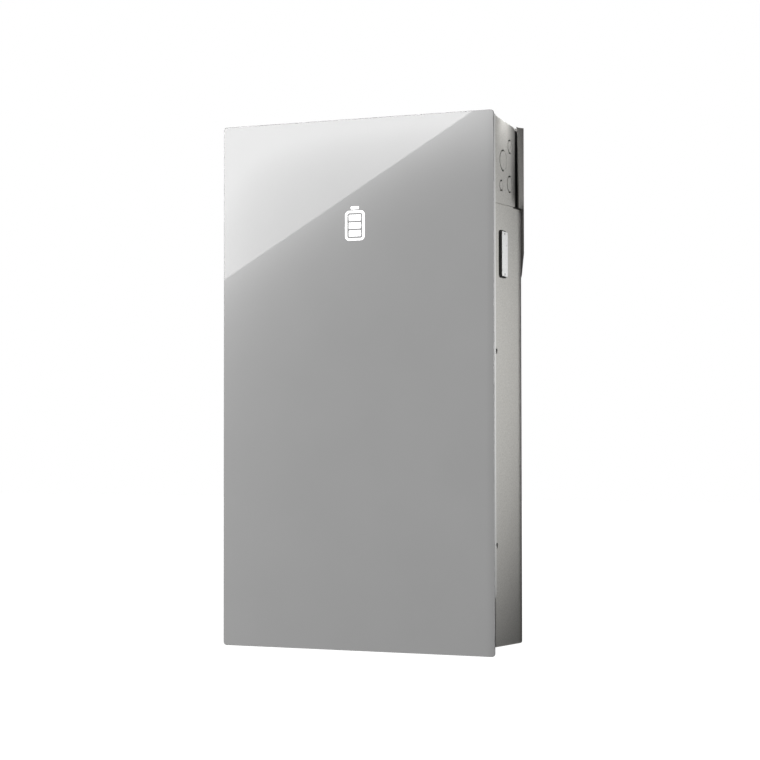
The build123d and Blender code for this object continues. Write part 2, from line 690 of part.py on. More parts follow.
def fan_housing(x):
    """Square fan frame with a bore, a bearing boss and three spokes."""
    half = FAN_SIZE / 2
    frame = block((x - half, x + half), (FAN_Y - half, FAN_Y + half), (FAN_BOTTOM, FAN_BOTTOM + FAN_TALL))
    frame = fillet(frame.edges().filter_by(Axis.Z), 3)
    frame -= rod(FAN_BORE, (x, FAN_Y, FAN_BOTTOM - 1), (0, 0, 1), FAN_TALL + 2)
    frame += rod(HUB_RADIUS - 0.5, (x, FAN_Y, FAN_BOTTOM), (0, 0, 1), SPOKE_TALL)
    for i in range(3):
        spoke = block((8, FAN_BORE + 0.6), (-1.5, 1.5), (0, SPOKE_TALL))
        frame += Pos(x, FAN_Y, FAN_BOTTOM) * Rot(0, 0, 90 + i * 120) * spoke
    return frame - rod(SHAFT_RADIUS + PIN_CLEARANCE, (x, FAN_Y, FAN_BOTTOM - 1), (0, 0, 1), SPOKE_TALL + 2)


def fan_rotor(x):
    """Fan hub with pitched blades and a shaft that runs in the housing's boss."""
    low = FAN_BOTTOM + SPOKE_TALL + 0.4
    hub = rod(HUB_RADIUS, (x, FAN_Y, low), (0, 0, 1), 13)
    hub = fillet(hub.edges().group_by(Axis.Z)[-1], 1.5)
    hub += rod(SHAFT_RADIUS, (x, FAN_Y, FAN_BOTTOM + 0.4), (0, 0, 1), SPOKE_TALL + 1)
    blade = block((HUB_RADIUS - 1.5, BLADE_TIP - 0.7), (-5, 5), (-0.6, 0.6))
    for i in range(BLADES):
        turn = Rot(0, 0, i * 360 / BLADES) * Rot(40, 0, 0)
        hub += Pos(x, FAN_Y, low + 6.5) * turn * blade
    return hub


# ---- power switch -------------------------------------------------------------------------------
def tub_size():
    """Outer width and height of the switch's tub."""
    return BEZEL_WIDE - 2 * BEZEL_LAP, BEZEL_TALL - 2 * BEZEL_LAP


def switch_bezel():
    """Bezel flange on the enclosure's side with a closed tub behind it."""
    wide, tall = tub_size()
    flange = side_plate(BEZEL_WIDE, BEZEL_TALL, BEZEL_RADIUS, BODY_HALF, BODY_HALF + BEZEL_PROUD)
    flange = fillet(flange.faces().sort_by(Axis.X)[-1].outer_wire().edges(), 0.6)
    tub = side_plate(wide, tall, BEZEL_RADIUS - BEZEL_LAP, TUB_FLOOR, BODY_HALF)
    hollow = side_plate(wide - 2 * TUB_WALL, tall - 2 * TUB_WALL, 4.2, TUB_FLOOR + 1.5, 310)
    pin = rod(PIN_RADIUS, (PIVOT_X, SWITCH_Y - wide, SWITCH_Z), (0, 1, 0), 2 * wide)
    return flange + tub - hollow - pin


def rocker_size():
    """Outer width and height of the rocker, inside the tub."""
    wide, tall = tub_size()
    return wide - 2 * (TUB_WALL + ROCKER_GAP_SIDE), tall - 2 * (TUB_WALL + ROCKER_GAP_END)


def face_plate(outer):
    """The face plate's outline, from its seat in the rocker out to a given X."""
    wide, tall = rocker_size()
    return side_plate(wide - 2 * FACE_INSET, tall - 2 * FACE_INSET, 3.4, ROCKER_OUTER - FACE, outer)


def switch_rocker():
    """Rocker with a shallow recess for its face plate and a bore for the pin."""
    wide, tall = rocker_size()
    rocker = side_plate(wide, tall, 3.8, ROCKER_INNER - 2, ROCKER_OUTER)
    rocker -= face_plate(ROCKER_OUTER + 1)
    hollow = side_plate(wide - 4, tall - 4, 2, ROCKER_INNER - 3, ROCKER_OUTER - 3)
    depth, heights = (SWITCH_Y - 15, SWITCH_Y + 15), (SWITCH_Z - 4, SWITCH_Z + 4)
    boss = block((ROCKER_INNER - 2, ROCKER_OUTER - 2), depth, heights)
    rocker = rocker - hollow + boss
    return rocker - rod(PIN_RADIUS + PIN_CLEARANCE, (PIVOT_X, SWITCH_Y - 30, SWITCH_Z), (0, 1, 0), 60)


def switch_face():
    """Light face plate with a small round hole near each end."""
    plate = face_plate(ROCKER_OUTER + FACE)
    plate = chamfer(plate.faces().sort_by(Axis.X)[-1].outer_wire().edges(), 0.3)
    reach = rocker_size()[1] / 2 - FACE_HOLE_INSET
    for z in (SWITCH_Z - reach, SWITCH_Z + reach):
        plate -= rod(FACE_HOLE, (ROCKER_OUTER - FACE - 1, SWITCH_Y, z), (1, 0, 0), 2 * FACE + 2)
    return plate


def switch_pin():
    """Pivot pin, held in the tub's walls."""
    wide, tall = tub_size()
    return rod(PIN_RADIUS, (PIVOT_X, SWITCH_Y - wide / 2, SWITCH_Z), (0, 1, 0), wide)


def switch_module():
    """Contact module on the tub's floor with a plunger each side of the pivot."""
    floor = TUB_FLOOR + 1.5
    body = block((floor, floor + 4), (SWITCH_Y - 11, SWITCH_Y + 11), (SWITCH_Z - 28, SWITCH_Z + 28))
    plungers = [rod(2.5, (floor + 4, SWITCH_Y, SWITCH_Z + z), (1, 0, 0), 1.2) for z in (-20, 20)]
    return body + plungers


# ---- cells --------------------------------------------------------------------------------------
def cell(x, row):
    """One prismatic cell with its two terminals on the front."""
    low = STACK_BOTTOM + row * CELL_PITCH
    can = block((x - CELL_WIDE / 2, x + CELL_WIDE / 2), (CELL_FRONT, CELL_REAR), (low, low + CELL_TALL))
    can = fillet(can.edges().filter_by(Axis.Y), 2)
    middle = low + CELL_TALL / 2
    for side in (-1, 1):
        start = (x + side * TERMINAL_OFFSET, CELL_FRONT - TERMINAL, middle)
        can += rod(TERMINAL_RADIUS, start, (0, 1, 0), TERMINAL)
    return can


def cell_end_plates():
    """Plates that close each column of cells above and below."""
    plates = []
    for x in CELL_COLUMNS:
        for low in (STACK_BOTTOM - END_PLATE, STACK_TOP):
            plate = block((x - 74, x + 74), (CELL_FRONT, CELL_REAR), (low, low + END_PLATE))
            for side in (-1, 1):
                plate -= rod(4, (x + side * 20, CELL_FRONT - 1, low + END_PLATE / 2), (0, 1, 0), 20)
            plates.append(plate)
    return plates


def cell_straps():
    """Steel bands over the front and ends of each column, hooked to the cold plate."""
    bands = []
    low, high = STACK_BOTTOM - END_PLATE, STACK_TOP + END_PLATE
    rear = CELL_REAR + PAD
    for x in CELL_COLUMNS:
        for side in (-1, 1):
            middle = x + side * STRAP_OFFSET
            across = (middle - 6, middle + 6)
            outer = block(across, (CELL_FRONT - STRAP, rear), (low - STRAP, high + STRAP))
            bands.append(outer - block(across, (CELL_FRONT, rear + 1), (low, high)))
    return bands


def busbars():
    """Copper bars that join the cells of each column in series, then the columns."""
    bars = []
    depth = (CELL_FRONT - TERMINAL - BUSBAR, CELL_FRONT - TERMINAL)
    for x in CELL_COLUMNS:
        for row in range(CELL_ROWS - 1):
            side = 1 if row % 2 else -1
            middle = x + side * TERMINAL_OFFSET
            low = STACK_BOTTOM + row * CELL_PITCH + 6
            bars.append(block((middle - 8, middle + 8), depth, (low, low + CELL_PITCH + 15)))
    low = STACK_BOTTOM + 7
    bars.append(block((-180 + 48, -48), depth, (low, low + 13)))
    high = STACK_TOP - 21
    bars.append(block((48, 180 - 48), depth, (high, high + 13)))
    return bars


def cell_monitor_boards():
    """A slim circuit board down the front of each column, with a row of chips."""
    boards = []
    for x in CELL_COLUMNS:
        heights = (STACK_BOTTOM + 30, STACK_TOP - 30)
        board = block((x - 26, x + 26), (CELL_FRONT - BOARD, CELL_FRONT), heights)
        for z in evenly(STACK_BOTTOM + 70, STACK_TOP - 70, 7):
            board += block((x - 8, x + 8), (CELL_FRONT - BOARD - 2, CELL_FRONT - BOARD), (z - 8, z + 8))
        boards.append(board)
    return boards


def thermal_pads():
    """Soft pads between each column and the cold plate."""
    heights = (STACK_BOTTOM, STACK_TOP)
    return [block((x - 72, x + 72), (CELL_REAR, CELL_REAR + PAD), heights) for x in CELL_COLUMNS]


def cooling_plate():
    """Cold plate behind the cells, on posts from the enclosure's back, with two pipe stubs."""
    front = CELL_REAR + PAD
    plate = block(
        (-COLD_PLATE_HALF, COLD_PLATE_HALF), (front, front + COLD_PLATE), (STACK_BOTTOM - 10, STACK_TOP + 4)
    )
    stubs = [rod(3, (x, front + COLD_PLATE / 2, STACK_TOP + 4), (0, 0, 1), 10) for x in (-250, 250)]
    rear = front + COLD_PLATE
    places = [(x, z) for x in (-255, -90, 90, 255) for z in (60, 415, 770)]
    posts = [rod(7, (x, rear, z), (0, 1, 0), BODY_INNER_REAR - rear) for x, z in places]
    return plate + stubs + posts


# ---- battery electronics ------------------------------------------------------------------------
def board_with_chips(x, z, front, posts_to, chips):
    """A circuit board on four posts, with chips on its front given as (X, Z, width, height, tall)."""
    board = block(x, (front, front + BOARD), z)
    for px in (x[0] + 6, x[1] - 6):
        for pz in (z[0] + 6, z[1] - 6):
            board += rod(2.5, (px, front + BOARD, pz), (0, 1, 0), posts_to - front - BOARD)
    for cx, cz, wide, high, tall in chips:
        board += block((cx - wide / 2, cx + wide / 2), (front - tall, front), (cz - high / 2, cz + high / 2))
    return board


def electronics_tray():
    """Sheet tray above the cells, on posts from the enclosure's back."""
    tray = block((-278, 278), (TRAY_FRONT, TRAY_FRONT + 2), (TRAY_BOTTOM, TRAY_TOP))
    for x in (-200, 0, 200):
        for z in (TRAY_BOTTOM + 14, TRAY_TOP - 14):
            tray += rod(5, (x, TRAY_FRONT + 2, z), (0, 1, 0), BODY_INNER_REAR - TRAY_FRONT - 2)
    return tray


def battery_controller():
    """Battery management board."""
    chips = [(-200, 870, 18, 18, 3), (-160, 845, 12, 12, 2), (-240, 845, 26, 12, 9), (-130, 885, 30, 10, 10)]
    return board_with_chips((-262, -104), (824, 902), 138, TRAY_FRONT, chips)


def contactors():
    """Two sealed contactors with a pair of studs each."""
    units = []
    for x in (-58, 2):
        unit = block((x - 24, x + 24), (92, TRAY_FRONT), (830, 898))
        unit = fillet(unit.edges().filter_by(Axis.Y), 4)
        for side in (-1, 1):
            unit += rod(5, (x + side * 12, 84, 864), (0, 1, 0), 8)
        units.append(unit)
    return units


def main_fuse():
    """Cartridge fuse between two blade tabs, in a low base."""
    barrel = rod(14, (52, 112, 864), (1, 0, 0), 56)
    blades = block((38, 122), (110, 114), (856, 872))
    base = block((58, 102), (124, TRAY_FRONT), (850, 878))
    return barrel + blades + base


def choke_coils():
    """Wound ring chokes lying on the tray."""
    coils = []
    for x in (168, 236):
        ring = rod(30, (x, 122, 863), (0, 1, 0), TRAY_FRONT - 122) - rod(13, (x, 121, 863), (0, 1, 0), 30)
        coils.append(fillet(ring.edges().group_by(Axis.Y)[0], 4))
    return coils


# ---- inverter -----------------------------------------------------------------------------------
def power_board():
    """Main power circuit board."""
    chips = [(-40, 1058, 60, 14, 6), (20, 1000, 24, 60, 8)]
    return board_with_chips((-284, 44), (938, 1074), POWER_BOARD_FRONT, BOX_INNER_REAR, chips)


def power_modules():
    """Switching modules clamped to the enclosure's back, in front of the heat sink."""
    return [block((x - 18, x + 18), (132, BOX_INNER_REAR), (990, 1030)) for x in evenly(-240, 0, 6)]


def filter_capacitors():
    """Round capacitors standing on the power board."""
    cans = []
    for x in evenly(-258, -88, 5):
        can = rod(16, (x, 66, 1050), (0, 1, 0), POWER_BOARD_FRONT - 66)
        cans.append(fillet(can.edges().group_by(Axis.Y)[0], 1.5))
    return cans


def relays():
    """Grid relays on the power board."""
    return [
        fillet(block((x - 11, x + 11), (88, POWER_BOARD_FRONT), (945, 961)).edges().filter_by(Axis.Y), 1)
        for x in evenly(-84, 28, 5)
    ]


def filter_inductors():
    """Potted inductors on the power board."""
    return [
        fillet(block((x - 17, x + 17), (74, POWER_BOARD_FRONT), (980, 1016)).edges().filter_by(Axis.Y), 5)
        for x in (-80, -38)
    ]


def control_board():
    """Control circuit board in front of the power board."""
    chips = [
        (-200, 985, 24, 24, 3),
        (-160, 1000, 14, 14, 2),
        (-235, 965, 30, 10, 8),
        (-130, 970, 16, 12, 10),
    ]
    return board_with_chips((-266, -106), (948, 1026), CONTROL_BOARD_FRONT, POWER_BOARD_FRONT, chips)


# ---- wiring compartment -------------------------------------------------------------------------
def terminal_block(x, z, front, poles, rear):
    """A row of clamp poles, each with a wire entry from below and a screw well in front."""
    body = block(x, (front, rear), z)
    pitch = (x[1] - x[0]) / poles
    for i in range(poles):
        middle = x[0] + (i + 0.5) * pitch
        body -= rod(pitch * 0.3, (middle, (front + rear) / 2, z[0] - 1), (0, 0, 1), 16)
        body -= rod(pitch * 0.26, (middle, front - 1, z[1] - 10), (0, 1, 0), 9)
    return body


AC_BLOCK = ((84.0, 204.0), (944.0, 980.0))
AC_FRONT = 106.0
AC_POLES = 5


def terminal_screws():
    """Clamp screws in the AC terminal block's wells."""
    pitch = (AC_BLOCK[0][1] - AC_BLOCK[0][0]) / AC_POLES
    screws = []
    for i in range(AC_POLES):
        x = AC_BLOCK[0][0] + (i + 0.5) * pitch
        z = AC_BLOCK[1][1] - 10
        screw = rod(pitch * 0.25, (x, AC_FRONT + 3, z), (0, 1, 0), 5)
        screws.append(screw - block((x - 5, x + 5), (AC_FRONT + 2, AC_FRONT + 4.5), (z - 0.7, z + 0.7)))
    return screws


def solar_terminals():
    """Lever terminals for the solar strings."""
    body = terminal_block((84, 252), (1030, 1062), 112, 12, BOX_INNER_REAR)
    for i in range(12):
        x = 84 + (i + 0.5) * 14
        body += block((x - 4.5, x + 4.5), (108, 112), (1032, 1044))
    return body


def ground_bar():
    """Drilled brass bar on two feet."""
    bar = block((222, 288), (118, 127), (950, 962))
    for x in (226, 284):
        bar += block((x - 4, x + 4), (127, BOX_INNER_REAR), (951, 961))
    for x in evenly(234, 276, 5):
        bar -= rod(2.6, (x, 117, 956), (0, 1, 0), 11)
    return bar


def comms_board():
    """Communications board with plug sockets along its lower edge."""
    board = block((222, 290), (124, 124 + BOARD), (984, 1020))
    for x in (227, 285):
        board += rod(2.5, (x, 124 + BOARD, 1002), (0, 1, 0), BOX_INNER_REAR - 124 - BOARD)
    for x in (236, 256, 276):
        socket = block((x - 8, x + 8), (110, 124), (984, 998))
        board += socket - block((x - 6, x + 6), (112, 122), (983, 995))
    return board


# ---- write every piece --------------------------------------------------------------------------
def main():
    os.makedirs("parts", exist_ok=True)

    write("glass_panel", glass_panel())
    write("cover_frame", cover_frame())
    write("cover_edge_rails", *cover_edge_rails())
    write("cover_clips", *cover_clips())
    write("cover_studs", *cover_studs())
    write("status_symbol", *symbol_parts(SYMBOL_DEPTH))
    write("status_light_board", status_light_board())

    write("battery_enclosure", battery_enclosure())
    write("battery_lid", battery_lid())
    write("lid_screws", *[lid_screw(x, z) for x, z in BATTERY_SCREWS + INVERTER_SCREWS])

    write("inverter_enclosure", inverter_enclosure())
    write("bulkhead", bulkhead())
    write("inverter_lid", inverter_lid())
    battery_ring = ring_gasket(BATTERY_WINDOW, BATTERY_WINDOW_Z, BATTERY_SCREWS, BODY_FRONT)
    inverter_ring = ring_gasket(INVERTER_WINDOW, BOX_WINDOW_Z, INVERTER_SCREWS, BODY_FRONT)
    write("lid_gaskets", battery_ring, inverter_ring)
    write("stud_grommets", *stud_grommets())
    write("wiring_cover", wiring_cover())
    write("wiring_seal", ring_gasket(WIRING_WINDOW, BOX_WINDOW_Z, WIRING_SCREWS, BODY_FRONT - SEAL_GAP))
    write("wiring_cover_screws", *[lid_screw(x, z) for x, z in WIRING_SCREWS])

    write("joining_strips", *joining_strips(), *joining_spacers())
    write("riser_seal", riser_seal())
    write("hanger_rail", hanger_rail())
    write("wall_bracket", wall_bracket())
    write("rear_spacers", *rear_spacers())
    write("pressure_vent", pressure_vent())

    write("heat_sink", heat_sink())
    write("air_guides", *air_guides())
    write("fan_tray", fan_tray())
    write("fan_housings", *[fan_housing(x) for x in FAN_CENTRES])
    for name, x in zip(("left", "middle", "right"), FAN_CENTRES):
        write(f"fan_rotor_{name}", fan_rotor(x))

    write("switch_bezel", switch_bezel())
    write("switch_rocker", switch_rocker())
    write("switch_face", switch_face())
    write("switch_pin", switch_pin())
    write("switch_module", switch_module())

    for name, x in zip(("left", "middle", "right"), CELL_COLUMNS):
        write(f"cells_{name}", *[cell(x, row) for row in range(CELL_ROWS)])
    write("cell_end_plates", *cell_end_plates())
    write("cell_straps", *cell_straps())
    write("busbars", *busbars())
    write("cell_monitor_boards", *cell_monitor_boards())
    write("thermal_pads", *thermal_pads())
    write("cooling_plate", cooling_plate())

    write("electronics_tray", electronics_tray())
    write("battery_controller", battery_controller())
    write("contactors", *contactors())
    write("main_fuse", main_fuse())
    write("choke_coils", *choke_coils())

    write("power_board", power_board())
    write("power_modules", *power_modules())
    write("filter_parts", *filter_capacitors(), *filter_inductors())
    write("relays", *relays())
    write("control_board", control_board())

    write("ac_terminal_block", terminal_block(*AC_BLOCK, AC_FRONT, AC_POLES, BOX_INNER_REAR))
    write("terminal_screws", *terminal_screws())
    write("solar_terminals", solar_terminals())
    write("ground_bar", ground_bar())
    write("comms_board", comms_board())


main()
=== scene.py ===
"""Looks of the wall battery unit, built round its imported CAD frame. Metres, +Z up, the wall at Y = 0."""

import json
import math

import bpy
from mathutils import Matrix, Vector


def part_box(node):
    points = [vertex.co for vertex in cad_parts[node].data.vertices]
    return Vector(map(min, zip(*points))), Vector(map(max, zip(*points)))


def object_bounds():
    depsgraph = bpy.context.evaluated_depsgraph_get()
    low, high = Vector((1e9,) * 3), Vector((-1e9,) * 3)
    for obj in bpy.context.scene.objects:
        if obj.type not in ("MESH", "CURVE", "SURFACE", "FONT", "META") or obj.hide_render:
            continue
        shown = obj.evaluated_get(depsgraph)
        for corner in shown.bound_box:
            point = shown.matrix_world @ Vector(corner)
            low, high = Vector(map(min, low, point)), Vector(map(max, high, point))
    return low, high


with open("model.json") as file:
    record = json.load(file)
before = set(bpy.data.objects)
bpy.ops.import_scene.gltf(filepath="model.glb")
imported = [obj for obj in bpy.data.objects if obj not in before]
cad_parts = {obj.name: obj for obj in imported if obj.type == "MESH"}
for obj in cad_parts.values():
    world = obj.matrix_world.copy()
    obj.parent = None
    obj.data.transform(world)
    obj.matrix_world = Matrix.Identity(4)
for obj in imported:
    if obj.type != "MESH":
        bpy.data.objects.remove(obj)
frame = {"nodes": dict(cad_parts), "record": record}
nodes = frame["nodes"]
cad_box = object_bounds()

UNIT_BOTTOM = cad_box[0][2]
GLASS_LOW, GLASS_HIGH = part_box("glass_panel")
GLASS_FACE = GLASS_LOW.y
GLASS_WIDTH = GLASS_HIGH.x - GLASS_LOW.x
GLASS_HEIGHT = GLASS_HIGH.z - GLASS_LOW.z

SMOOTH_ANGLE = math.radians(28.0)   # faces that meet at less than this shade as one

# ---- camera --------------------------------------------------------------------------------------
CAMERA_AZIMUTH = 24.478      # degrees round from the front, towards the power switch's side
CAMERA_PITCH = 1.671         # degrees above level
CAMERA_DISTANCE = 4.392
CAMERA_SIDEWAYS = -0.155     # aim point to the right of the unit's middle, so negative is left
CAMERA_RISE = 0.0105         # and above it
LENS = 98.23
SENSOR = 36.0
SHIFT = 0.105

# ---- the card that the glass mirrors: lengths as seen on the glass, glow as emission strength ----
CARD_DISTANCE = 3.0          # in front of the glass
CARD_MARGIN_ACROSS = 1.5     # card beyond the glass's mirrored outline, as a share of the glass
CARD_MARGIN_DOWN = 0.5
STREAK_LEFT_DROP = 0.327     # the lit panel's lower edge on the glass's left edge, from the top
STREAK_RIGHT_INSET = 0.043   # and on its top edge, from the right corner
PANEL_GLOW = 5.9             # even part of the lit panel
PANEL_MOST = 11.0            # its brightest
TOP_GLOW = 6.6               # added to the panel at the glass's top edge
TOP_REACH = 0.075
LEFT_GLOW = 5.5              # added everywhere at the glass's left edge
LEFT_REACH = 0.12
LEFT_FALL_LIT = 0.6          # reach of that downwards, within the panel
LEFT_FALL_UNLIT = 0.33       # and outside it
HALO_GLOW = 2.9              # spill just below the panel's lower edge
HALO_REACH = 0.07
CROWN_GLOW = 2.7             # haze along the top edge outside the panel
CROWN_REACH = 0.085
ROOM_GLOW = 1.0              # the studio behind everything
ROOM_LEFT_GLOW = 0.15        # added to it at the left edge
ROOM_LEFT_REACH = 0.2
ROOM_EDGE_SLOPE = 60.0       # how fast, per metre, the studio's glow rises from the glass's right edge
ROOM_EDGE_LEAST = 0.1

# ---- floor, flags, lights and world --------------------------------------------------------------
FLOOR_DROP = 0.6             # floor below the unit, which hangs on a wall
FLOOR_REACH = 30.0           # half the floor's width
BOUNCE_DROP = 0.5            # the light that stands in for the floor's, below the unit
FLAG_X = 0.51                # plane of the flags that shade the unit's rear edges
FLAGS = (                    # name, span in Y, span in Z
    ("body_flag", (-0.045, 0.455), (-1.26, -0.03)),
    ("box_flag", (-0.086, -0.058), (-0.03, 0.4)),
)
SPOT_RADIUS = 0.12
CROWN_LIGHT_GAP = 0.03       # small light beside and above the upper box's right shoulder
CROWN_LIGHT_Y = -0.115
CROWN_TOP = 0.135
ROOM_STRENGTH = 0.09         # the even light that reaches everything

WHITE = (1.0, 1.0, 1.0, 1.0)


# ---- node helpers --------------------------------------------------------------------------------
class Surface:
    """A Principled material on object coordinates, with short ways to vary its sockets."""

    def __init__(self, name, colour, roughness, metallic=0.0):
        self.material = bpy.data.materials.new(name)
        self.material.use_nodes = True
        self.tree = self.material.node_tree
        self.shader = self.tree.nodes["Principled BSDF"]
        self.place = self.add("ShaderNodeTexCoord").outputs["Object"]
        self.set("Base Color", (*colour, 1.0))
        self.set("Roughness", roughness)
        self.set("Metallic", metallic)
        self.material.diffuse_color = (*colour, 1.0)

    def add(self, kind, **inputs):
        node = self.tree.nodes.new(kind)
        for name, value in inputs.items():
            node.inputs[name.replace("_", " ")].default_value = value
        return node

    def link(self, output, target):
        self.tree.links.new(output, target)

    def set(self, socket, value):
        self.shader.inputs[socket].default_value = value

    def stretched(self, scale):
        """Object coordinates scaled separately on each axis, for brushed or drawn-out grain."""
        mapping = self.add("ShaderNodeMapping", Scale=scale)
        self.link(self.place, mapping.inputs["Vector"])
        return mapping.outputs["Vector"]

    def noise(self, scale, detail, vector=None):
        node = self.add("ShaderNodeTexNoise", Scale=scale, Detail=detail, Roughness=0.5)
        self.link(vector or self.place, node.inputs["Vector"])
        return node.outputs["Fac"]

    def ranged(self, value, low, high, from_low=0.3, from_high=0.7):
        """A value mapped to low..high; the default input span is where noise mostly lies."""
        node = self.add("ShaderNodeMapRange", From_Min=from_low, From_Max=from_high, To_Min=low, To_Max=high)
        self.link(value, node.inputs["Value"])
        return node.outputs["Result"]

    def blend_colour(self, factor, dark, light):
        """Base colour between two, by a factor from another node."""
        mix = self.tree.nodes.new("ShaderNodeMix")
        mix.data_type = "RGBA"
        mix.inputs["A"].default_value = (*dark, 1.0)
        mix.inputs["B"].default_value = (*light, 1.0)
        self.link(factor, mix.inputs["Factor"])
        colour = [socket for socket in mix.outputs if socket.type == "RGBA"][0]
        self.link(colour, self.shader.inputs["Base Color"])

    def vary_colour(self, dark, light, scale, detail, vector=None):
        self.blend_colour(self.ranged(self.noise(scale, detail, vector), 0.0, 1.0), dark, light)

    def vary_roughness(self, low, high, scale, detail=3.0, vector=None):
        self.link(self.ranged(self.noise(scale, detail, vector), low, high), self.shader.inputs["Roughness"])

    def bump(self, *layers, vector=None):
        """Bump from noise layers given as (scale, depth in metres, detail)."""
        normal = None
        for scale, depth, detail in layers:
            node = self.add("ShaderNodeBump", Strength=1.0, Distance=depth)
            self.link(self.noise(scale, detail, vector), node.inputs["Height"])
            if normal is not None:
                self.link(normal, node.inputs["Normal"])
            normal = node.outputs["Normal"]
        self.link(normal, self.shader.inputs["Normal"])


def mixed(colour, factor):
    """A colour lightened or darkened by a factor."""
    return tuple(min(1.0, channel * factor) for channel in colour)


# ---- materials -----------------------------------------------------------------------------------
def powder_coat(name, colour, roughness, grain=0.000035, mottle=0.15):
    """Satin powder coat: fine grain, soft orange peel and a faint mottle."""
    coat = Surface(name, colour, roughness)
    coat.vary_colour(mixed(colour, 1 - mottle), mixed(colour, 1 + mottle), scale=300.0, detail=5.0)
    coat.vary_roughness(roughness - 0.05, roughness + 0.06, scale=60.0)
    coat.bump((1400.0, grain, 2.0), (300.0, grain * 4.0, 2.0))
    return coat.material


def painted_glass():
    """Clear glass over a grey back coat, polished, with the faintest haze."""
    colour = (0.40, 0.40, 0.40)
    glass = Surface("glass_grey", colour, 0.01)
    glass.vary_colour(mixed(colour, 0.985), mixed(colour, 1.015), scale=7.0, detail=2.0)
    glass.vary_roughness(0.006, 0.014, scale=9.0)
    glass.set("IOR", 1.52)
    return glass.material


def moulded(name, colour, roughness=0.5, grain=0.00003):
    """Moulded plastic with a fine spark-eroded texture."""
    plastic = Surface(name, colour, roughness)
    plastic.vary_colour(mixed(colour, 0.9), mixed(colour, 1.1), scale=350.0, detail=3.0)
    plastic.vary_roughness(roughness - 0.06, roughness + 0.08, scale=120.0)
    plastic.bump((1800.0, grain, 2.0), (90.0, grain * 2, 1.0))
    return plastic.material


def rubber(name, colour):
    """Matt rubber with a dusty bloom."""
    soft = Surface(name, colour, 0.8)
    soft.vary_colour(mixed(colour, 0.7), mixed(colour, 1.5), scale=160.0, detail=4.0)
    soft.vary_roughness(0.7, 0.92, scale=80.0)
    soft.bump((900.0, 0.00005, 3.0))
    return soft.material


def metal(name, colour, roughness, stretch=(60.0, 60.0, 1500.0), metallic=1.0):
    """Bare, plated or anodised metal; its fine lines run across the axis with the largest stretch."""
    bare = Surface(name, colour, roughness, metallic)
    lines = bare.stretched(stretch)
    bare.vary_colour(mixed(colour, 0.92), mixed(colour, 1.06), scale=1.0, detail=3.0, vector=lines)
    bare.vary_roughness(max(0.08, roughness - 0.08), roughness + 0.1, scale=1.0, vector=lines)
    bare.bump((1.0, 0.000012, 2.0), vector=lines)
    return bare.material


def galvanised(name, colour):
    """Zinc-coated sheet with its crystal flakes, each of its own shade and gloss."""
    sheet = Surface(name, colour, 0.4, 0.9)
    flakes = sheet.add("ShaderNodeTexVoronoi", Scale=110.0)
    sheet.link(sheet.place, flakes.inputs["Vector"])
    split = sheet.add("ShaderNodeSeparateColor")
    sheet.link(flakes.outputs["Color"], split.inputs["Color"])
    gloss = sheet.ranged(split.outputs["Red"], 0.28, 0.5, from_low=0.0, from_high=1.0)
    sheet.link(gloss, sheet.shader.inputs["Roughness"])
    sheet.blend_colour(split.outputs["Green"], mixed(colour, 0.85), mixed(colour, 1.1))
    sheet.bump((500.0, 0.00002, 2.0))
    return sheet.material


def lit_symbol():
    """White diffuser lit from behind."""
    light = Surface("symbol_light", (0.95, 0.95, 0.95), 0.15)
    light.set("Emission Color", WHITE)
    light.set("Emission Strength", 1.2)
    light.bump((300.0, 0.00001, 2.0))
    return light.material


def circuit_board(name, colour):
    """Solder mask over copper tracks that show as faint raised bands."""
    board = Surface(name, colour, 0.35)
    tracks = board.stretched((350.0, 350.0, 90.0))
    board.vary_colour(mixed(colour, 0.6), mixed(colour, 1.7), scale=1.0, detail=0.0, vector=tracks)
    board.vary_roughness(0.25, 0.45, scale=300.0)
    board.bump((1.0, 0.00008, 0.0), vector=tracks)
    return board.material


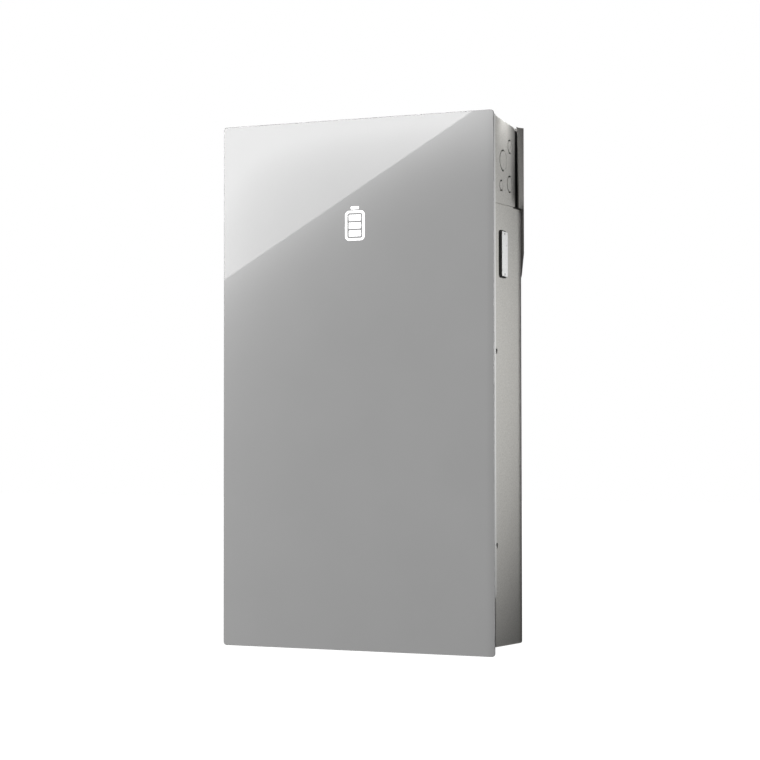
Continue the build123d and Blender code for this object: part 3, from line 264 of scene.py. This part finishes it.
MATERIALS = {
    "glass_grey": painted_glass(),
    "warm_grey_coat": powder_coat("warm_grey_coat", (0.47, 0.462, 0.438), 0.42),
    "bracket_coat": powder_coat("bracket_coat", (0.36, 0.35, 0.331), 0.45),
    "lid_coat": powder_coat("lid_coat", (0.40, 0.395, 0.38), 0.48),
    "frame_plastic": moulded("frame_plastic", (0.16, 0.16, 0.16)),
    # pale rail paint along the cover's edges is a painted highlight: it stands in for the bright reflection
    # running down the glass's edge
    "light_rail": powder_coat("light_rail", (0.66, 0.66, 0.65), 0.35, grain=0.000005, mottle=0.02),
    "clip_plastic": moulded("clip_plastic", (0.04, 0.04, 0.042)),
    "symbol_light": lit_symbol(),
    "board_green": circuit_board("board_green", (0.02, 0.11, 0.045)),
    "board_dark": circuit_board("board_dark", (0.012, 0.016, 0.022)),
    "black_rubber": rubber("black_rubber", (0.025, 0.025, 0.026)),
    "zinc_steel": metal("zinc_steel", (0.62, 0.62, 0.63), 0.3),
    "galvanised_sheet": galvanised("galvanised_sheet", (0.55, 0.56, 0.57)),
    "sink_black": metal("sink_black", (0.035, 0.035, 0.04), 0.4, (1200.0, 1200.0, 30.0), metallic=0.6),
    "fan_black": moulded("fan_black", (0.03, 0.03, 0.034), 0.45),
    "switch_black": moulded("switch_black", (0.012, 0.012, 0.012), 0.4),
    "switch_dark": moulded("switch_dark", (0.075, 0.075, 0.072), 0.4),
    "switch_light": moulded("switch_light", (0.79, 0.79, 0.785), 0.32, grain=0.00001),
    "cell_film": moulded("cell_film", (0.03, 0.10, 0.25), 0.3, grain=0.00001),
    "plain_aluminium": metal("plain_aluminium", (0.72, 0.73, 0.74), 0.32, (1500.0, 60.0, 60.0)),
    "pad_grey": rubber("pad_grey", (0.36, 0.36, 0.42)),
    "copper_bar": metal("copper_bar", (0.80, 0.42, 0.26), 0.28),
    "brass_bar": metal("brass_bar", (0.78, 0.58, 0.26), 0.26, (40.0, 1500.0, 1500.0)),
    "black_plastic": moulded("black_plastic", (0.03, 0.03, 0.033)),
    "grey_plastic": moulded("grey_plastic", (0.30, 0.31, 0.32)),
    "orange_plastic": moulded("orange_plastic", (0.62, 0.17, 0.03)),
    "ceramic_white": moulded("ceramic_white", (0.78, 0.77, 0.73), 0.2, grain=0.000005),
    "winding": metal("winding", (0.55, 0.22, 0.08), 0.3, (900.0, 20.0, 900.0)),
}


def dress_nodes():
    """Gives every CAD node the material of its slot in the record."""
    for part in frame["record"]["subparts"]:
        mesh = nodes[part["node"]].data
        mesh.shade_smooth()
        mesh.set_sharp_from_angle(angle=SMOOTH_ANGLE)
        mesh.materials.clear()
        mesh.materials.append(MATERIALS[part["material_slot"]])


# ---- camera --------------------------------------------------------------------------------------
def unit_middle():
    """Middle of the CAD box, which the camera and most lights aim at."""
    low, high = cad_box
    return (Vector(low) + Vector(high)) / 2


def camera_axes():
    """The camera's forward and right directions."""
    turn, pitch = math.radians(CAMERA_AZIMUTH), math.radians(CAMERA_PITCH)
    forward = Vector((-math.sin(turn) * math.cos(pitch), math.cos(turn) * math.cos(pitch), math.sin(pitch)))
    right = Vector((math.cos(turn), math.sin(turn), 0.0))
    return forward, right


def camera_place():
    """Where the camera stands."""
    forward, right = camera_axes()
    aim = unit_middle() + right * CAMERA_SIDEWAYS + Vector((0.0, 0.0, CAMERA_RISE))
    return aim - forward * CAMERA_DISTANCE


def make_camera():
    data = bpy.data.cameras.new("camera")
    data.lens = LENS
    data.sensor_width = SENSOR
    data.shift_x = SHIFT
    camera = bpy.data.objects.new("camera", data)
    bpy.context.scene.collection.objects.link(camera)
    camera.location = camera_place()
    camera.rotation_euler = (math.radians(90 + CAMERA_PITCH), 0.0, math.radians(CAMERA_AZIMUTH))
    bpy.context.scene.camera = camera


# ---- stage: reflection card, floor and flags -----------------------------------------------------
def flat_sheet(name, corners, material):
    """A four-cornered sheet of one material, linked to the scene."""
    mesh = bpy.data.meshes.new(name)
    mesh.from_pydata(corners, [], [(0, 1, 2, 3)])
    mesh.materials.append(material)
    sheet = bpy.data.objects.new(name, mesh)
    bpy.context.scene.collection.objects.link(sheet)
    return sheet


def mirrored_spot(x, z):
    """Where the camera's ray to a point on the glass lands, after the glass, on the card's plane."""
    eye = camera_place()
    point = Vector((x, GLASS_FACE, z))
    ray = point - eye
    ray.y = -ray.y
    return point + ray * (CARD_DISTANCE / abs(ray.y))


class Sums:
    """Short names for the arithmetic of the card's brightness."""

    def __init__(self, tree):
        self.tree = tree

    def do(self, operation, *values):
        node = self.tree.nodes.new("ShaderNodeMath")
        node.operation = operation
        for socket, value in zip(node.inputs, values):
            if isinstance(value, (int, float)):
                socket.default_value = value
            else:
                self.tree.links.new(value, socket)
        return node.outputs[0]

    def total(self, *values):
        result = values[0]
        for value in values[1:]:
            result = self.do("ADD", result, value)
        return result

    def product(self, *values):
        result = values[0]
        for value in values[1:]:
            result = self.do("MULTIPLY", result, value)
        return result

    def fade(self, value, reach):
        """1 at zero, falling to 1/e at reach."""
        return self.do("EXPONENT", self.do("MULTIPLY", value, -1.0 / reach))


def card_glow(sums, across, down):
    """Brightness of the mirrored studio: a lit panel with a slanting lower edge, and the room.

    across and down run from the glass's mirrored upper left corner, in the glass's metres.
    """
    slope = STREAK_LEFT_DROP / (GLASS_WIDTH - STREAK_RIGHT_INSET)
    below = sums.do("SUBTRACT", sums.total(down, sums.product(across, slope)), STREAK_LEFT_DROP)
    lit = sums.do("LESS_THAN", below, 0.0)
    unlit = sums.do("SUBTRACT", 1.0, lit)
    depth = sums.do("MAXIMUM", down, 0.0)
    from_left = sums.do("ABSOLUTE", across)

    left = sums.product(LEFT_GLOW, sums.fade(from_left, LEFT_REACH))
    top = sums.product(TOP_GLOW, sums.fade(depth, TOP_REACH))
    panel = sums.total(PANEL_GLOW, top, sums.product(left, sums.fade(depth, LEFT_FALL_LIT)))
    bright = sums.product(lit, sums.do("MINIMUM", panel, PANEL_MOST))

    crown = sums.product(CROWN_GLOW, sums.fade(sums.product(depth, depth), CROWN_REACH ** 2))
    halo = sums.product(HALO_GLOW, sums.fade(sums.do("MAXIMUM", below, 0.0), HALO_REACH))
    spill = sums.total(halo, crown, sums.product(left, sums.fade(depth, LEFT_FALL_UNLIT)))

    rise = sums.product(sums.do("SUBTRACT", GLASS_WIDTH, across), ROOM_EDGE_SLOPE)
    edge = sums.do("MINIMUM", sums.do("MAXIMUM", rise, ROOM_EDGE_LEAST), 1.0)
    room_left = sums.product(ROOM_LEFT_GLOW, sums.fade(from_left, ROOM_LEFT_REACH))
    room = sums.product(edge, sums.total(ROOM_GLOW, room_left))
    return sums.total(bright, sums.product(unlit, spill), room)


def card_material():
    """Glow alone, as strong as card_glow says at each point."""
    material = bpy.data.materials.new("light_card")
    material.use_nodes = True
    tree = material.node_tree
    tree.nodes.clear()
    glow = tree.nodes.new("ShaderNodeEmission")
    out = tree.nodes.new("ShaderNodeOutputMaterial")
    place = tree.nodes.new("ShaderNodeTexCoord")
    split = tree.nodes.new("ShaderNodeSeparateXYZ")
    tree.links.new(place.outputs["Object"], split.inputs["Vector"])
    strength = card_glow(Sums(tree), split.outputs["X"], split.outputs["Y"])
    tree.links.new(strength, glow.inputs["Strength"])
    tree.links.new(glow.outputs["Emission"], out.inputs["Surface"])
    return material


def make_card():
    """Flat card in front of the glass that shows only in its reflection.

    Its own X and Y run right and down, scaled so that they are metres on the glass.
    """
    corner = mirrored_spot(GLASS_LOW.x, GLASS_HIGH.z)
    right = mirrored_spot(GLASS_LOW.x + 1.0, GLASS_HIGH.z) - corner
    down = mirrored_spot(GLASS_LOW.x, GLASS_HIGH.z - 1.0) - corner
    low_x, high_x = -CARD_MARGIN_ACROSS * GLASS_WIDTH, (1 + CARD_MARGIN_ACROSS) * GLASS_WIDTH
    low_y, high_y = -CARD_MARGIN_DOWN * GLASS_HEIGHT, (1 + CARD_MARGIN_DOWN) * GLASS_HEIGHT
    corners = [(low_x, low_y, 0), (high_x, low_y, 0), (high_x, high_y, 0), (low_x, high_y, 0)]
    card = flat_sheet("light_card", corners, card_material())
    facing = right.cross(down).normalized()
    card.matrix_world = Matrix.Translation(corner) @ Matrix((right, down, facing)).transposed().to_4x4()
    card.visible_camera = False
    card.visible_diffuse = False
    card.visible_shadow = False


def floor_material():
    """Plain pale floor, burnt out to the backdrop's white, with a clear underside.

    The clear underside lets views from below show the unit.
    """
    pale = Surface("floor_pale", (0.8, 0.8, 0.8), 0.9)
    pale.set("Emission Color", WHITE)
    pale.set("Emission Strength", 1.0)
    side = pale.add("ShaderNodeNewGeometry")
    clear = pale.add("ShaderNodeBsdfTransparent")
    mix = pale.add("ShaderNodeMixShader")
    pale.link(side.outputs["Backfacing"], mix.inputs["Fac"])
    pale.link(pale.shader.outputs["BSDF"], mix.inputs[1])
    pale.link(clear.outputs["BSDF"], mix.inputs[2])
    pale.link(mix.outputs["Shader"], pale.tree.nodes["Material Output"].inputs["Surface"])
    return pale.material


def make_floor():
    """The floor that the camera sees; floor_bounce stands in for the light that it sends up."""
    level = UNIT_BOTTOM - FLOOR_DROP
    reach = FLOOR_REACH
    corners = [(-reach, -reach, level), (reach, -reach, level), (reach, reach, level), (-reach, reach, level)]
    floor = flat_sheet("floor", corners, floor_material())
    floor.visible_diffuse = False
    floor.visible_glossy = False
    floor.visible_shadow = False


def make_flags():
    """Black flags beside the unit: their soft shadows from the side spot darken its rear edges."""
    black = Surface("flag_black", (0.02, 0.02, 0.02), 0.9).material
    for name, (front, rear), (low, high) in FLAGS:
        corners = [(FLAG_X, front, low), (FLAG_X, rear, low), (FLAG_X, rear, high), (FLAG_X, front, high)]
        flag = flat_sheet(name, corners, black)
        flag.visible_camera = False
        flag.visible_diffuse = False
        flag.visible_glossy = False


# ---- lights and world ----------------------------------------------------------------------------
def hang_light(name, data, place, target):
    """Puts up a lamp aimed at a point, seen neither directly nor in reflections."""
    light = bpy.data.objects.new(name, data)
    bpy.context.scene.collection.objects.link(light)
    light.location = place
    light.rotation_euler = (Vector(target) - Vector(place)).to_track_quat("-Z", "Y").to_euler()
    light.visible_camera = False
    light.visible_glossy = False


def area_light(name, place, target, size, power, spread=180.0):
    """A soft rectangular light; spread is the full angle that it shines into."""
    data = bpy.data.lights.new(name, "AREA")
    data.shape = "RECTANGLE"
    data.size, data.size_y = size
    data.energy = power
    data.spread = math.radians(spread)
    hang_light(name, data, place, target)


def spot_light(name, place, target, power, cone):
    """A soft round light, full along its axis and fading to nothing at the cone's edge."""
    data = bpy.data.lights.new(name, "SPOT")
    data.energy = power
    data.spot_size = math.radians(cone)
    data.spot_blend = 1.0
    data.shadow_soft_size = SPOT_RADIUS
    hang_light(name, data, place, target)


def make_lights():
    """A fill from the front left, a spot down the right side, and weak light from elsewhere."""
    middle = unit_middle()
    side = GLASS_HIGH.x
    under = (middle.x, middle.y, UNIT_BOTTOM - BOUNCE_DROP)
    beside_crown = (side + CROWN_LIGHT_GAP, CROWN_LIGHT_Y, CROWN_TOP + CROWN_LIGHT_GAP)
    crown = (side, CROWN_LIGHT_Y, CROWN_TOP)
    area_light("front_fill", (-1.6, -5.0, 0.4), middle, size=(3.0, 3.0), power=184.0)
    spot_light("side_spot", (2.2, -0.26, -0.1), (side, -0.35, -0.368), power=155.0, cone=39.4)
    area_light("crown_glow", beside_crown, crown, size=(0.015, 0.16), power=0.1)
    area_light("back_fill", (-2.0, 4.0, 0.8), middle, size=(2.5, 2.5), power=110.0)
    area_light("floor_bounce", under, middle, size=(0.8, 0.3), power=0.4, spread=60.0)
    area_light("top_fill", (0.0, -0.5, 3.0), middle, size=(2.0, 2.0), power=40.0)


def make_world():
    """White to the camera, a dim even room to everything else."""
    world = bpy.data.worlds.new("world")
    bpy.context.scene.world = world
    world.use_nodes = True
    tree = world.node_tree
    tree.nodes.clear()
    path = tree.nodes.new("ShaderNodeLightPath")
    seen = tree.nodes.new("ShaderNodeBackground")
    room = tree.nodes.new("ShaderNodeBackground")
    mix = tree.nodes.new("ShaderNodeMixShader")
    out = tree.nodes.new("ShaderNodeOutputWorld")
    seen.inputs["Strength"].default_value = 1.0
    seen.inputs["Color"].default_value = WHITE
    room.inputs["Strength"].default_value = ROOM_STRENGTH
    room.inputs["Color"].default_value = WHITE
    tree.links.new(path.outputs["Is Camera Ray"], mix.inputs["Fac"])
    tree.links.new(room.outputs["Background"], mix.inputs[1])
    tree.links.new(seen.outputs["Background"], mix.inputs[2])
    tree.links.new(mix.outputs["Shader"], out.inputs["Surface"])


make_camera()
make_world()
make_card()
make_floor()
make_flags()
make_lights()
dress_nodes()
bpy.context.scene.view_settings.view_transform = "Standard"
